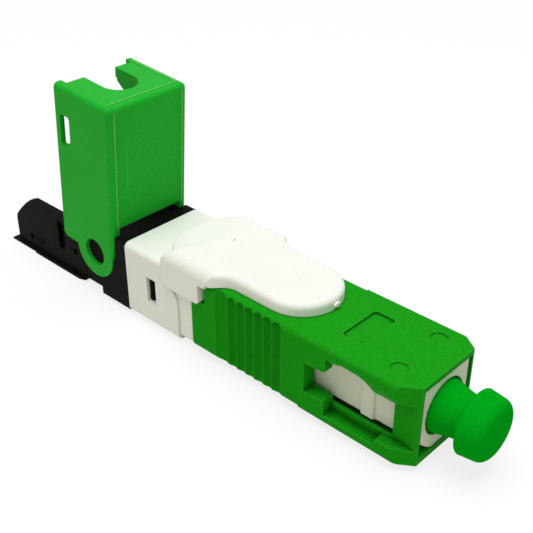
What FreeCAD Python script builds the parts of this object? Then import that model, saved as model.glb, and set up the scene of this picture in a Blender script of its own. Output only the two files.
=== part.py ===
"""Field-installable square push-pull fibre connector with an angled ferrule, in millimetres.

The pieces are drawn along X with x = 0 at the mating face of the housing, +X pointing out of the
mating end, y = 0 on the centre plane and z = 0 on the underside of the housing.  Each piece is
moved once, as it is written, so that the origin of the part is the tip of the ferrule.
"""
import FreeCAD, Part
import math
import os

V = FreeCAD.Vector

# ---------------------------------------------------------------- driving dimensions
# Fits and gaps
slide_gap = 0.05            # between flat faces that slide on one another
assembly_gap = 0.1          # between pieces that only lie near one another
seam_gap = 0.02             # between faces that are pressed or glued together

# Ferrule and the carriage behind it
axis_z = 3.95               # height of the ferrule axis above the housing's underside
tip_reach = 1.6             # ferrule tip in front of the mating face
ferrule_radius = 1.2495
ferrule_length = 9.0
ferrule_tip_radius = 0.8
ferrule_tip_cone = 0.55
polish_angle = 8.0
fibre_radius = 0.0625
fibre_hole_gap = 0.002
flange_length = 1.6
flange_gap = 0.15           # round the flange, in the frame's rear bore
ferrule_seat_depth = 1.3    # how much of the ferrule is held in the flange
holder_tube_radius = 0.9
holder_tube_bore = 0.35

# Spring behind the flange
spring_wire = 0.3
spring_coil_radius = 1.5
spring_turns = 5
spring_runs_per_turn = 16
seat_length = 0.4

# Outer housing
housing_length = 23.65
housing_width = 9.0
housing_height = 7.6
housing_side_wall = 0.85
housing_top_wall = 0.5
housing_floor = 0.55
housing_front_side_cut = 1.17
housing_front_cut = 1.72
housing_front_round = 0.4
housing_grip_length = 12.55
housing_grip_round = 0.65
housing_shoulder_gap = 0.08
notch_length = 1.65         # rear notch in each side that takes the pad's tab
notch_floor = 5.25
rib_inset = 1.95
rib_pitch = 1.03
rib_count = 6
rib_last_width = 1.5
rib_depth = 0.42
rib_top_drop = 0.65
key_half_width = 1.0
key_drop = 0.72
key_setback = 1.6
key_length = 10.8
mark_radius = 0.75
mark_depth = 0.1
mark_setback = 2.8
mark_y = 2.6
label_setback = 6.6
label_length = 2.1
label_half_width = 2.2
label_round = 0.4
label_depth = 0.2

# Latch channel in each side of the housing: stations behind the mating face, and heights
channel_depth = 1.05
window_front = 2.31
window_rear = 10.55
ledge_front = 8.5           # the rear ledge ends here and the floor drops
lip_rear = 3.35             # the front lip starts here
ledge_height = 2.2
floor_height = 0.85
lip_height = 1.5
window_sill = 1.65
tooth_front = 8.5           # the tooth under the roof's rear end
tooth_height = 5.2
tooth_rear_height = 5.0
roof_start = 7.6            # the sloped roof runs forward from here
roof_peak = 6.4
roof_bend = 5.3
roof_foot = 4.33
roof_front_height = 5.0
roof_nose_height = 6.1      # ahead of the window the roof rises towards the mating face
roof_foot_height = 4.95
roof_bend_height = 5.6
roof_edge_drops = (1.1, 0.8, 0.88, 1.1, 1.25, 1.35)   # outer edge under the housing's top

# Plug frame inside the front of the housing
frame_setback = 0.12
frame_length = 12.78
frame_wall = 0.6            # beside the front bore
frame_band_rise = 0.24
frame_band_setback = 4.5
frame_band_length = 1.3
frame_band_round = 0.2
frame_corner_tops = (1.85, 1.5, 1.15, 0.8)    # the lower corners fall back through these heights
frame_corner_half_widths = (2.5, 2.1, 1.65)   # and through these half widths, to the foot
frame_foot_half_width = 1.25
frame_bore = 2.5
frame_web_setback = 5.2
frame_web = 0.85
frame_rear_bore = 2.3

# Main body
collar_length = 1.7
body_length = 7.0
body_overhang = 0.1         # the body is this much wider than the housing, each side
body_bottom = -0.2
body_top_drop = 0.3
body_round = 0.55
body_wall = 0.75
shoulder_cut = 1.65         # how far the shoulder falls back at mid height
collar_bottom = 0.2
collar_top_drop = 0.4
collar_step = 0.18          # the collar's lower part is this much narrower than the body
collar_round = 0.4
neck_round = 0.25
neck_top_wall = 0.5
cavity_half_width = 2.6
cavity_bottom = 1.4
nose_wall = 0.6
pocket_depth = 4.25         # rear pocket that takes the tail's spigot
body_window_margin = 2.85
body_window_length = 1.1
body_window_bottom = 2.25
body_window_top = 4.85
body_window_flare = 0.1

# Slider pad
tab_gap = 0.35
pad_tongue_reach = 11.15
pad_tongue_half_width = 3.6
pad_flare_reach = 3.5
pad_flare_length = 2.5
pad_rear_overhang = 1.2
pad_rear_radius = 5.3
pad_nick_y = 4.1
pad_front_thickness = 1.18
pad_rear_thickness = 1.44
pad_round = 0.5
pad_shoulder_round = 1.1     # the full-width part's long top edges
pad_rear_corner_round = 1.6
skirt_length = 4.75
skirt_bottom = 5.3
skirt_thin = 0.27
skirt_thick = 0.82
skirt_round = 0.35
lip_length = 0.9            # low edge ahead of the tab
lip_bottom = 7.3
pad_travel = 2.4
pad_dish_overhang = 1.1
pad_dish_radius = 5.3
pad_dish_depth = 0.45
pad_hollow_setback = 5.4
pad_hollow_radius = 2.7
pad_hollow_depth = 0.28
leg_setback = 0.6
leg_length = 1.2
leg_half_width = 0.7
foot_half_width = 1.2

# Splice inside the body
splice_half_width = 1.5
splice_base_height = 1.7
splice_cover_height = 1.3
splice_tail = 2.1           # splice behind the pad's leg
socket_length = 1.2         # full-height front block that holds the carriage tube
front_cover_length = 4.9
chip_setback = 2.25
chip_length = 8.5
chip_half_width = 0.6
chip_height = 0.5
groove_depth = 0.1
buffer_groove = 0.45
land_height = 0.3
land_length = 2.7
sleeve_wall = 0.2
sleeve_setback = 1.55
sleeve_slot = 1.6
sleeve_clearance = 1.05     # sleeve's rear end in front of the pad's leg

# Fibre guide behind the splice
guide_setback = 0.55
guide_length = 3.2
guide_mouth = 1.5
guide_throat = 0.2

# Hinge of the tail
hinge_setback = 4.67        # behind the front face of the tail
pin_z = 4.39
pin_radius = 1.32
pin_sink = 0.4              # the pin's end lies this far inside the ear's face

# Flip cap, measured from the hinge pin: behind it, and above it when the cap is shut
cap_wall = 0.85
cap_top = 2.85
cap_free_edge = 4.75
cap_panel_start = 3.7
cap_length = 15.9
cap_end_wall = 1.2
cap_end_relief = 1.0
cap_relief_drop = 1.4
cap_round = 0.45
ear_radius = 2.6
ear_gap = 0.05              # round the hinge pin
ear_tangent_start = 2.5
cap_front_edge = 0.2
cap_front_corner = 0.6
cap_notch_half_width = 1.8
cap_notch_depth = 2.3
cap_prong_depth = 6.8
cap_window_start = 9.95
cap_window_length = 3.15
cap_window_top = 2.8
cap_window_bottom = 4.15
cap_window_round = 0.3
cap_groove_depth = 0.35
cap_groove_margin = 0.3
cap_web_thickness = 0.8      # webs beside the notch, inside the cap
# The webs' free edge: ahead of the middle of the end wall, and above the pin
cap_web_edge = ((0.65, -3.75), (1.2, -3.0), (1.85, -1.3), (2.4, 2.1))
bead_width = 0.14           # fine raised lines on the cap's outside
bead_rise = 0.06
bead_inset = 0.65           # from the cap's sides
bead_drop = 0.75            # from the cap's top, on its end
cap_open_angle = 94.5

# Tail base
cheek_inset = 0.1
cheek_bottom = -0.15
cheek_reach = 0.5           # rear edge of the cheeks, in front of the pin
tail_wall = 0.5
block_rise = 2.76           # top of the front block above the pin
block_reach = 2.03          # rear of that top behind the pin
wall_reach = 3.23           # where the slope from the block meets the trough's walls
wall_rise = 1.36            # top of those walls above the pin
tail_corner = ((3.9, 0.0), (3.1, 0.33), (2.2, 1.0), (1.2, 1.9), (0.55, 2.57), (0.1, 3.1), (0.0, 3.6))
tail_bottom = -0.25
trough_floor = 1.2
trough_reach = 2.13
web_room_length = 0.9       # the floor drops here for the shut cap's webs
web_room_floor = 0.45
tooth_rise = 0.3
tooth_pitch = 1.1
tooth_count = 8
first_tooth = 4.43
plate_reach = 2.93
plate_slant = 1.1
plate_overhang = 0.85
plate_side = 0.35
plate_tip_length = 4.15
plate_tip_thinner = 0.15
slot_reach = 6.23
slot_length = 1.1
slot_bottom = 1.5
slot_top = 4.7
dimple_margin = 2.55
dimple_z = 0.88
dimple_radius = 0.4
dimple_depth = 0.25
nick_reach = 4.63
nick_z = 2.1
nick_size = 0.6
spigot_length = 4.2
spigot_wall = 0.45
hook_length = 0.9
hook_reach = 0.5
bump_margin = 0.45
bump_reach = 0.2
bump_lip = 0.05

# Dust cap
dust_neck_radius = 2.3
dust_waist_radius = 1.88
dust_waist_x = 1.9
dust_head_rear = 2.49
dust_head_length = 2.15
dust_head_radius = 2.80
dust_head_front_radius = 2.56
dust_head_round = 0.8
dust_neck_length = 4.2
dust_bore_gap = 0.03        # round the ferrule
dust_end_gap = 0.25         # between the ferrule tip and the end of the bore

# ---------------------------------------------------------------- places worked out from the sizes
# Housing and plug frame
housing_rear = -housing_length
housing_half_width = housing_width / 2
housing_grip_front = housing_rear + housing_grip_length
channel_floor = housing_half_width - channel_depth
notch_front = housing_rear + notch_length
frame_front = -frame_setback
frame_rear = frame_front - frame_length
frame_half_width = frame_bore + frame_wall - frame_band_rise
frame_band_half_width = frame_half_width + frame_band_rise
frame_bottom = housing_floor + slide_gap
frame_top = housing_height - housing_top_wall - slide_gap

# Carriage
ferrule_rear = tip_reach - ferrule_length
flange_front = ferrule_rear + ferrule_seat_depth
flange_rear = flange_front - flange_length
flange_radius = frame_rear_bore - flange_gap
seat_front = frame_rear + seat_length
spring_length = flange_rear - seat_front
neck_front = frame_rear - seam_gap
splice_front = neck_front - nose_wall - 0.25

# Body, behind the housing
neck_half_width = housing_half_width - housing_side_wall - slide_gap
neck_bottom = housing_floor + slide_gap
neck_top = housing_height - housing_top_wall - 2 * slide_gap
collar_front = housing_rear - assembly_gap
body_shoulder = collar_front - collar_length
body_rear = body_shoulder - body_length
body_half_width = housing_half_width + body_overhang
body_top = housing_height - body_top_drop
collar_top = housing_height - collar_top_drop
cavity_top = neck_top - neck_top_wall
pocket_front = body_rear + pocket_depth
pocket_half_width = body_half_width - body_wall
pocket_bottom = cavity_bottom - body_wall
pocket_top = body_top - body_wall
body_window_rear = body_rear + body_window_margin
body_window_front = body_window_rear + body_window_length

# Pad
pad_half_width = body_half_width + slide_gap + skirt_thin
collar_half_width = pad_half_width - skirt_thick - 0.15
collar_low_half_width = body_half_width - collar_step
tab_front = notch_front - tab_gap
pad_tip = tab_front + pad_tongue_reach
pad_flare_front = tab_front + pad_flare_reach
pad_flare_rear = pad_flare_front - pad_flare_length
skirt_rear = tab_front - skirt_length
pad_rear = skirt_rear - pad_rear_overhang
pad_top_front = housing_height + pad_front_thickness
pad_top_rear = housing_height + pad_rear_thickness
leg_front = collar_front - leg_setback
leg_rear = leg_front - leg_length

# Splice
splice_rear = leg_rear - splice_tail
splice_joint = splice_front - socket_length - front_cover_length
splice_top = axis_z + seam_gap + splice_cover_height
splice_bottom = axis_z - splice_base_height
land_top = splice_top + land_height
chip_front = splice_front - chip_setback
sleeve_front = splice_front - sleeve_setback
sleeve_rear = leg_front + sleeve_clearance
sleeve_bottom = splice_bottom - seam_gap - sleeve_wall
guide_front = pocket_front - guide_setback

# Tail and hinge
tail_front = body_rear - slide_gap
pin_x = tail_front - hinge_setback
cap_half_width = body_half_width
tail_half_width = cap_half_width - cap_wall - slide_gap
trough_half_width = tail_half_width - tail_wall
tail_wall_rear = pin_x - cap_length + cap_end_relief + slide_gap
tail_block_top = pin_z + block_rise
tail_wall_top = pin_z + wall_rise
plate_front = pin_x - plate_reach
plate_rear = tail_wall_rear - plate_overhang
plate_bottom = -key_drop
plate_top = pin_z - cap_free_edge - slide_gap
trough_front = pin_x - trough_reach
spigot_half_width = pocket_half_width - slide_gap
spigot_front = tail_front + spigot_length
spigot_bottom = pocket_bottom + slide_gap
spigot_top = pocket_top - slide_gap


# ---------------------------------------------------------------- building helpers
def box(x0, x1, y0, y1, z0, z1):
    """Box between two corners, given in any order."""
    low = V(min(x0, x1), min(y0, y1), min(z0, z1))
    return Part.makeBox(abs(x1 - x0), abs(y1 - y0), abs(z1 - z0), low)


def block(x0, x1, half_width, z0, z1):
    """Box centred on the middle plane."""
    return box(x0, x1, -half_width, half_width, z0, z1)


def rod(x0, x1, radius, y=0.0, z=axis_z):
    """Cylinder along X."""
    return Part.makeCylinder(radius, abs(x1 - x0), V(min(x0, x1), y, z), V(1, 0, 0))


def cross_rod(y0, y1, radius, x, z):
    """Cylinder along Y."""
    return Part.makeCylinder(radius, abs(y1 - y0), V(x, min(y0, y1), z), V(0, 1, 0))


def side_plate(points, y0, y1):
    """Plate with an outline in X and Z, from one width to another."""
    corners = [V(x, y0, z) for x, z in points]
    return Part.Face(Part.makePolygon(corners + corners[:1])).extrude(V(0, y1 - y0, 0))


def plan_plate(points, z0, z1):
    """Plate with an outline in X and Y, from one height to another."""
    corners = [V(x, y, z0) for x, y in points]
    return Part.Face(Part.makePolygon(corners + corners[:1])).extrude(V(0, 0, z1 - z0))


def end_plate(points, x0, x1):
    """Bar with a section in Y and Z, from one station to another."""
    corners = [V(x0, y, z) for y, z in points]
    return Part.Face(Part.makePolygon(corners + corners[:1])).extrude(V(x1 - x0, 0, 0))


def mirrored(shape):
    """The same shape on the other side of the middle plane."""
    return shape.mirror(V(0, 0, 0), V(0, 1, 0))


def both_sides(shape):
    """Shape and its mirror image."""
    return [shape, mirrored(shape)]


def fuse_all(shapes):
    """One solid from pieces that meet."""
    return shapes[0].multiFuse(shapes[1:]).removeSplitter()


def edges_along(shape, direction):
    """Straight edges that run along a direction."""
    found = []
    for edge in shape.Edges:
        if edge.Degenerated or edge.Curve.TypeId != "Part::GeomLine":
            continue
        if abs(abs(edge.Curve.Direction.dot(direction)) - 1.0) < 1e-6:
            found.append(edge)
    return found


def rounded_bar(x0, x1, half_width, z0, z1, radius):
    """Bar along X whose four long edges are rounded."""
    bar = block(x0, x1, half_width, z0, z1)
    return bar.makeFillet(radius, edges_along(bar, V(1, 0, 0)))


def turned(profile):
    """Solid of revolution about the ferrule axis from points of station and radius."""
    corners = [V(x, 0, axis_z + r) for x, r in profile]
    face = Part.Face(Part.makePolygon(corners + corners[:1]))
    return face.revolve(V(0, 0, axis_z), V(1, 0, 0), 360)


def tilted_tip_cutter():
    """Everything in front of the angled end face of the ferrule."""
    cutter = box(0, 4, -4, 4, -4, 4)
    cutter.rotate(V(0, 0, 0), V(0, 1, 0), -polish_angle)
    cutter.translate(V(tip_reach, 0, axis_z))
    return cutter


# ---------------------------------------------------------------- ferrule carriage
def make_ferrule():
    """Zirconia ferrule with a coned, angled tip and a hole for the fibre."""
    blunt = turned([(ferrule_rear, 0), (ferrule_rear, ferrule_radius),
                    (tip_reach - ferrule_tip_cone, ferrule_radius),
                    (tip_reach + ferrule_tip_cone, 2 * ferrule_tip_radius - ferrule_radius),
                    (tip_reach + ferrule_tip_cone, 0)])
    hole = rod(ferrule_rear - 1, tip_reach + 1, fibre_radius + fibre_hole_gap)
    return blunt.cut([tilted_tip_cutter(), hole])


def make_ferrule_holder():
    """Flange that grips the ferrule, with the tube that leads back to the splice."""
    tube_rear = splice_front - socket_length
    holder = turned([(flange_front, 0), (flange_front, flange_radius), (flange_rear, flange_radius),
                     (flange_rear, holder_tube_radius), (tube_rear, holder_tube_radius), (tube_rear, 0)])
    socket = rod(flange_front + 1, ferrule_rear - seam_gap, ferrule_radius + fibre_hole_gap)
    bore = rod(flange_front, tube_rear - 1, holder_tube_bore)
    return holder.cut([socket, bore])


def make_fibre_stub():
    """Bare fibre fixed at the factory, from the end face to the middle of the splice."""
    fibre = rod(splice_joint, tip_reach + 1, fibre_radius)
    return fibre.cut(tilted_tip_cutter())


def make_ferrule_spring():
    """Open coil between the flange and its seat, as short mitred runs of eight-sided wire."""
    wire_radius = spring_wire / 2
    height = spring_length - spring_wire - 2 * seam_gap
    start_x = flange_rear - wire_radius - seam_gap
    runs = spring_turns * spring_runs_per_turn
    points = []
    for i in range(runs + 1):
        angle = 2 * math.pi * i / spring_runs_per_turn
        points.append(V(start_x - height * i / runs, spring_coil_radius * math.sin(angle),
                        axis_z + spring_coil_radius * math.cos(angle)))
    path = Part.makePolygon(points)
    across = V(0, 0, 1)
    along = (points[1] - points[0]).normalize()
    beside = along.cross(across).normalize()
    corners = []
    for i in range(8):
        angle = math.pi * (i + 0.5) / 4
        corners.append(points[0] + across * (wire_radius * math.cos(angle))
                       + beside * (wire_radius * math.sin(angle)))
    section = Part.makePolygon(corners + corners[:1])
    right_corners = 1
    return path.makePipeShell([section], True, False, right_corners)


def make_spring_seat():
    """Ring that the spring stands on, against the nose of the body."""
    ring = rod(seat_front, frame_rear, frame_rear_bore - slide_gap)
    return ring.cut(rod(seat_front + 1, frame_rear - 1, holder_tube_radius + assembly_gap))


def make_splice_base():
    """Lower half of the splice, with a socket in front and a pocket for the chip."""
    base = block(splice_front, splice_rear, splice_half_width, splice_bottom, axis_z)
    head = block(splice_front, splice_front - socket_length, splice_half_width, splice_bottom, splice_top)
    socket = rod(splice_front + 1, splice_front - socket_length, holder_tube_radius + fibre_hole_gap)
    pocket = block(chip_front + seam_gap, chip_front - chip_length - seam_gap,
                   chip_half_width + seam_gap, axis_z - chip_height - seam_gap, axis_z + 1)
    front_way = block(splice_front, chip_front, 2 * groove_depth, axis_z - 2 * groove_depth, axis_z + 1)
    front_way = front_way.cut(head)
    throat = rod(splice_front, splice_front - socket_length - seam_gap, 2 * groove_depth)
    rear_way = end_plate([(-buffer_groove, axis_z + seam_gap), (buffer_groove, axis_z + seam_gap),
                          (0, axis_z - buffer_groove)], chip_front - chip_length, splice_rear - 1)
    return fuse_all([base, head]).cut([socket, pocket, front_way, throat, rear_way])


def make_v_groove_chip():
    """Small plate whose groove lines the two fibres up."""
    chip = block(chip_front, chip_front - chip_length, chip_half_width, axis_z - chip_height, axis_z)
    groove = end_plate([(-groove_depth - 1, axis_z + 1), (groove_depth + 1, axis_z + 1),
                        (0, axis_z - groove_depth)], chip_front + 1, chip_front - chip_length - 1)
    return chip.cut(groove)


def splice_cover(front, rear):
    """Lid on the splice between two stations, relieved over the fibre."""
    lid = block(front, rear, splice_half_width, axis_z + seam_gap, splice_top)
    relief = block(front + 1, rear - 1, groove_depth, axis_z, axis_z + groove_depth)
    return lid.cut(relief)


def make_splice_cover_front():
    """Lid over the factory fibre."""
    return splice_cover(splice_front - socket_length - seam_gap, splice_joint)


def make_splice_cover_rear():
    """Lid over the field fibre, with the land that the pad's foot presses."""
    lid = splice_cover(splice_joint - seam_gap, splice_rear)
    land_front = sleeve_rear - assembly_gap
    ramp = side_plate([(land_front, splice_top), (land_front, land_top),
                       (land_front - land_length, land_top),
                       (land_front - land_length - 2 * land_height, splice_top)],
                      -splice_half_width, splice_half_width)
    return fuse_all([lid, ramp])


def make_clamp_sleeve():
    """Sheet-metal clip, open along its top, that holds the splice shut."""
    inner_half_width = splice_half_width + seam_gap
    outer = rounded_bar(sleeve_front, sleeve_rear, inner_half_width + sleeve_wall, sleeve_bottom,
                        splice_top + seam_gap + sleeve_wall, 2 * sleeve_wall)
    inner = block(sleeve_front + 1, sleeve_rear - 1, inner_half_width,
                  splice_bottom - seam_gap, splice_top + seam_gap)
    slot = block(sleeve_front + 1, sleeve_rear - 1, sleeve_slot / 2, splice_top, splice_top + 2)
    return outer.cut([inner, slot])


# ---------------------------------------------------------------- plug frame
def make_plug_frame():
    """White inner frame round the ferrule, with its lower corners cut back."""
    def section(half_width):
        right = [(half_width, frame_top)]
        right += zip((half_width,) + frame_corner_half_widths, frame_corner_tops)
        right.append((frame_foot_half_width, frame_bottom))
        return right + [(-y, z) for y, z in reversed(right)]

    core = end_plate(section(frame_half_width), frame_front, frame_rear)
    band = end_plate(section(frame_band_half_width), -frame_band_setback,
                     -frame_band_setback - frame_band_length)
    band = band.makeFillet(frame_band_round, edges_along(band, V(0, 0, 1)))
    web_front = -frame_web_setback
    web_rear = web_front - frame_web
    front_bore = rod(frame_front + 1, web_front, frame_bore)
    ferrule_hole = rod(web_front + 1, web_rear - 1, ferrule_radius + 2 * slide_gap)
    rear_bore = rod(web_rear, frame_rear - 1, frame_rear_bore)
    return fuse_all([core, band]).cut([front_bore, ferrule_hole, rear_bore])


# ---------------------------------------------------------------- outer housing
def latch_cutters():
    """What is taken out of the left side for the adapter's latch arm."""
    deep = housing_half_width + 1
    ahead = -0.5
    tooth_back = ledge_front - 0.1
    roof_x = [tooth_back, roof_start, roof_peak, roof_bend, roof_foot, window_front, ahead]
    outer_edge = [housing_height - drop for drop in (roof_edge_drops[0],) + roof_edge_drops]
    roof_low = [outer_edge[0] - 0.02, outer_edge[1] - 0.02, (outer_edge[2] + roof_bend_height) / 2,
                roof_bend_height, roof_foot_height, roof_front_height, roof_nose_height]
    roof_line = [(-x, z) for x, z in zip(roof_x, roof_low)]
    channel = side_plate([(-window_rear, ledge_height - 0.05), (-ledge_front, ledge_height + 0.05),
                          (-tooth_back, floor_height), (-lip_rear, floor_height),
                          (-lip_rear + 0.15, lip_height), (-ahead, lip_height)] + roof_line[::-1]
                         + [(-tooth_back, tooth_height + 0.05), (-tooth_front, tooth_height),
                            (-window_rear, tooth_rear_height)], channel_floor, deep)
    wedges = []
    for x, low, high in zip(roof_x, roof_low, outer_edge):
        rise = (high - low) * (deep - channel_floor) / channel_depth
        corners = [V(-x, channel_floor, low), V(-x, deep, low), V(-x, deep, low + rise)]
        wedges.append(Part.makePolygon(corners + corners[:1]))
    roof = Part.makeLoft(wedges, True, True)
    window = side_plate([(-window_rear, ledge_height + 0.1), (-ledge_front, ledge_height - 0.05),
                         (-tooth_back, window_sill), (-window_front, window_sill),
                         (-window_front, roof_front_height), (-roof_foot, roof_foot_height),
                         (-roof_bend, roof_bend_height), (-roof_start, roof_bend_height + 0.1),
                         (-tooth_back, roof_bend_height), (-tooth_back - 0.6, tooth_rear_height - 0.2),
                         (-window_rear, tooth_rear_height - 0.2)], frame_bore, channel_floor + assembly_gap)
    return [channel, roof, window]


def rib_cutters():
    """Scallops that leave the grip's ribs standing on the left side."""
    rib_front = housing_grip_front - rib_inset
    rib_top = housing_height - rib_top_drop
    edges = [rib_front - rib_pitch * i for i in range(rib_count + 1)]
    edges.append(edges[-1] - rib_last_width)
    cutters = []
    for front, rear in zip(edges, edges[1:]):
        half_chord = (front - rear) / 2
        radius = (half_chord ** 2 + rib_depth ** 2) / (2 * rib_depth)
        centre = V((front + rear) / 2, housing_half_width + radius - rib_depth, -1)
        cutters.append(Part.makeCylinder(radius, rib_top + 1, centre))
        cutters.append(Part.makeSphere(radius, V(centre.x, centre.y, rib_top)))
    return cutters


def make_outer_housing():
    """Green push-pull housing that slides on the body and the plug frame."""
    shell = fuse_all([
        rounded_bar(housing_rear, housing_grip_front, housing_half_width, 0, housing_height,
                    housing_grip_round),
        rounded_bar(housing_grip_front, 0, housing_half_width, 0, housing_height, housing_front_round),
        block(-key_setback, -key_setback - key_length, key_half_width, -key_drop, housing_floor / 2)])
    room_step = neck_front + housing_shoulder_gap
    rear_room = block(housing_rear - 1, room_step, neck_half_width + slide_gap,
                      neck_bottom - slide_gap, neck_top + slide_gap)
    front_room = block(room_step - 0.01, 1, frame_band_half_width + slide_gap, frame_bottom - slide_gap,
                       frame_top + slide_gap)
    cutters = [rear_room, front_room]
    outside = housing_half_width + 1
    slope = housing_front_side_cut / housing_front_cut
    corner = plan_plate([(1, housing_half_width - housing_front_side_cut - slope), (1, outside),
                         (-housing_front_cut - 1 / slope, outside)], -1, housing_height + 1)
    notch = box(notch_front, housing_rear - 1, neck_half_width + slide_gap, outside,
                notch_floor, housing_height + 1)
    ejector_mark = Part.makeCylinder(mark_radius, 1, V(-mark_setback, mark_y, housing_height - mark_depth))
    for cutter in [corner, notch, ejector_mark] + latch_cutters() + rib_cutters():
        cutters += both_sides(cutter)
    label = block(-label_setback, -label_setback - label_length, label_half_width,
                  housing_height - label_depth, housing_height + 1)
    cutters.append(label.makeFillet(label_round, edges_along(label, V(0, 0, 1))))
    return shell.cut(cutters)


# ---------------------------------------------------------------- main body
def make_main_body():
    """White body: neck inside the housing, collar, and the full-width part behind."""
    full = rounded_bar(body_rear, body_shoulder, body_half_width, body_bottom, body_top, body_round)
    collar = rounded_bar(body_shoulder, collar_front, collar_half_width, collar_bottom, collar_top,
                         collar_round)
    low_collar = block(body_shoulder, collar_front, collar_low_half_width, collar_bottom,
                       skirt_bottom - slide_gap)
    low_edges = [edge for edge in edges_along(low_collar, V(1, 0, 0)) if edge.CenterOfMass.z < collar_round]
    low_collar = low_collar.makeFillet(collar_round, low_edges)
    neck = rounded_bar(collar_front, neck_front, neck_half_width, neck_bottom, neck_top, neck_round)
    cavity = block(neck_front - nose_wall, pocket_front - 1, cavity_half_width, cavity_bottom, cavity_top)
    pocket = block(pocket_front, body_rear - 1, pocket_half_width, pocket_bottom, pocket_top)
    tube_hole = rod(neck_front + 1, neck_front - 2, holder_tube_radius + assembly_gap)
    leg_slot = block(leg_front + slide_gap, leg_rear - pad_travel - slide_gap,
                     leg_half_width + slide_gap, axis_z, body_top + 1)
    cutters = [cavity, pocket, tube_hole, leg_slot]

    # Room for the pad's skirt, and the rounded corner that the shoulder falls back with
    skirt_inside = pad_half_width - skirt_thick - slide_gap
    skirt_floor = skirt_bottom - slide_gap
    outside = body_half_width + 1
    skirt_room = box(body_shoulder + 1, skirt_rear - slide_gap, skirt_inside, outside,
                     skirt_floor, body_top + 1)
    corner_x = body_shoulder - shoulder_cut
    corner_z = skirt_floor - shoulder_cut
    corner = box(body_shoulder + 1, corner_x, collar_low_half_width, outside, corner_z, skirt_floor + 1)
    corner = corner.cut(cross_rod(0, outside + 1, shoulder_cut, corner_x, corner_z))
    window = plan_plate([(body_window_rear, cavity_half_width), (body_window_rear, outside),
                         (body_window_front + body_window_flare, outside),
                         (body_window_front + body_window_flare, body_half_width),
                         (body_window_front, pocket_half_width),
                         (body_window_front, cavity_half_width)], body_window_bottom, body_window_top)
    for cutter in [skirt_room, corner, window]:
        cutters += both_sides(cutter)
    shell = fuse_all([full, collar, low_collar, neck]).cut(cutters)
    rail = block(neck_front - nose_wall, pocket_front, splice_half_width / 2, cavity_bottom,
                 sleeve_bottom - slide_gap)
    return fuse_all([shell, rail])


# ---------------------------------------------------------------- slider pad
def pad_outline():
    """Closed outline of the pad from above, as one wire at z = 0."""
    tip_centre = pad_tip - pad_tongue_half_width
    rear_centre = pad_rear + pad_rear_radius
    w = pad_tongue_half_width
    bulge = (pad_half_width - w) / 2
    middle = (pad_flare_front + pad_flare_rear) / 2
    length = pad_flare_front - pad_flare_rear
    left = [V(tip_centre, w, 0), V(pad_flare_front, w, 0)]
    s_curve = Part.BezierCurve()
    s_curve.setPoles([V(pad_flare_front, w, 0), V(middle - length / 8, w, 0),
                      V(middle - length / 8, w + 2 * bulge, 0), V(pad_flare_rear, pad_half_width, 0)])
    rear_reach = math.sqrt(pad_rear_radius ** 2 - pad_nick_y ** 2)
    nick = V(rear_centre - rear_reach, pad_nick_y, 0)
    skirt_corner = V(skirt_rear, pad_half_width, 0)
    side = [Part.makeLine(left[0], left[1]), s_curve.toShape(),
            Part.makeLine(V(pad_flare_rear, pad_half_width, 0), skirt_corner),
            Part.makeLine(skirt_corner, nick)]
    mirror = [edge.mirror(V(0, 0, 0), V(0, 1, 0)) for edge in side]
    tip = Part.Arc(V(tip_centre, w, 0), V(pad_tip, 0, 0), V(tip_centre, -w, 0)).toShape()
    rear = Part.Arc(nick, V(pad_rear, 0, 0), V(nick.x, -nick.y, 0)).toShape()
    return Part.Wire(Part.__sortEdges__(side + mirror + [tip, rear]))


def dish(centre_x, radius, depth, surface_z):
    """Ball that presses a shallow dish of a given rim radius into a surface."""
    ball = (radius ** 2 + depth ** 2) / (2 * depth)
    return Part.makeSphere(ball, V(centre_x, 0, surface_z + ball - depth))


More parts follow.
